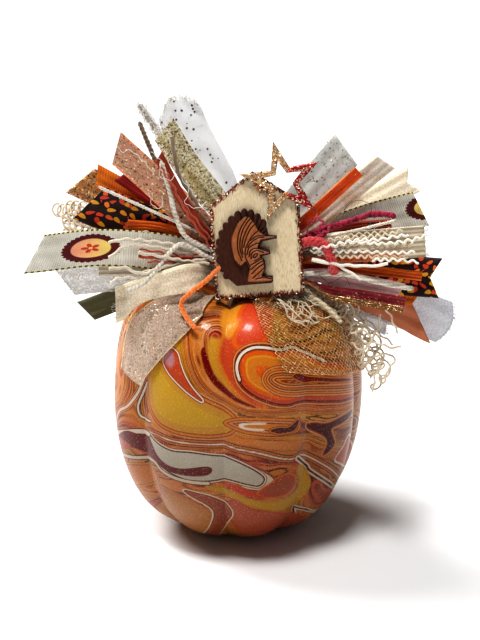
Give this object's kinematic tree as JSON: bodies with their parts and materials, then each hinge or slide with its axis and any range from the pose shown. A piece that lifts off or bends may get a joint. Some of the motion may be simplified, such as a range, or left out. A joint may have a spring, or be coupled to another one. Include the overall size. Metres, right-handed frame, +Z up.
{
  "type": "decorated craft pumpkin",
  "caption": "Marble-painted craft pumpkin that stands on a flat spot, with a layered ribbon and twine bow, a house-shaped wooden tag, an open star and a wooden hedgehog.",
  "frame": {"origin": "centre of the flat spot under the pumpkin, on the surface that it stands on", "axes": "+Z up, -Y towards the front with the tag, +X to the viewer's right"},
  "size_m": [0.208, 0.125, 0.2133],
  "materials": {
    "marbled_paint": "satin",
    "stem_wood": "matte",
    "knot_fabric": "matte",
    "natural_wood": "matte",
    "glitter_wood": "satin",
    "dark_wood": "matte",
    "tan_wood": "matte",
    "white_tulle": "matte",
    "gold_tulle": "satin",
    "orange_ribbon": "matte",
    "orange_satin": "satin",
    "copper_satin": "satin",
    "peach_glitter": "satin",
    "burgundy_ribbon": "satin",
    "leaf_print": "satin",
    "beige_lace": "matte",
    "motif_grosgrain": "matte",
    "cream_muslin": "matte",
    "silver_organza": "satin",
    "silver_satin": "satin",
    "ivory_sheer": "satin",
    "olive_ribbon": "satin",
    "rust_trim": "matte",
    "coral_chenille": "matte",
    "mauve_satin": "satin",
    "burgundy_glitter": "gloss",
    "gold_trim": "satin",
    "cream_twine": "matte",
    "grey_twine": "matte",
    "pale_yarn": "matte",
    "rust_yarn": "matte",
    "burgundy_yarn": "matte",
    "orange_cord": "matte",
    "jute": "matte",
    "gold_net": "satin",
    "speckled_organza": "satin"
  },
  "bodies": {
    "root": {"pumpkin": "marbled_paint", "stem": "stem_wood", "bow_knot": "knot_fabric", "house_tag": "natural_wood", "star_outline": "glitter_wood", "hedgehog_back": "dark_wood", "hedgehog_front": "tan_wood", "white_tulle_loop": "white_tulle", "gold_tulle_left": "gold_tulle", "red_orange_ribbon": "orange_ribbon", "copper_ribbon_left": "copper_satin", "peach_ribbon_left": "peach_glitter", "orange_grosgrain_left": "orange_ribbon", "burgundy_ribbon_left": "burgundy_ribbon", "leaf_ribbon_left": "leaf_print", "orange_satin_left": "orange_satin", "beige_fringe_left": "beige_lace", "motif_ribbon_left": "motif_grosgrain", "muslin_strip_left": "cream_muslin", "silver_organza_left": "silver_organza", "ivory_ribbon_left": "ivory_sheer", "olive_ribbon_left": "olive_ribbon", "silver_satin_right": "silver_satin", "velvet_ribbon_right": "orange_ribbon", "ivory_print_ribbon": "ivory_sheer", "ivory_edge_ribbon": "ivory_sheer", "motif_ribbon_right": "motif_grosgrain", "rust_bead_strip": "rust_trim", "muslin_strip_right": "cream_muslin", "coral_chenille": "coral_chenille", "olive_ribbon_right": "olive_ribbon", "leaf_ribbon_right": "leaf_print", "orange_satin_right": "orange_satin", "mauve_satin_right": "mauve_satin", "burgundy_glitter_right": "burgundy_glitter", "gold_trim_right": "gold_trim", "orange_grosgrain_right": "orange_ribbon", "copper_satin_right": "copper_satin", "white_tulle_right": "white_tulle", "grey_tulle_right": "white_tulle", "beige_fringe_right": "beige_lace", "white_twine_left": "cream_twine", "white_twine_branch": "cream_twine", "grey_twine_left": "grey_twine", "fuzzy_yarn_left": "pale_yarn", "pale_cord_left": "cream_twine", "rust_yarn_left": "rust_yarn", "burgundy_yarn_right": "burgundy_yarn", "white_string_right": "cream_twine", "orange_roving_right": "orange_cord", "cotton_cord_right": "cream_twine", "speckled_organza": "speckled_organza", "gold_net": "gold_net", "orange_cord": "orange_cord", "jute_twine": "jute"}
  },
  "joints": []
}
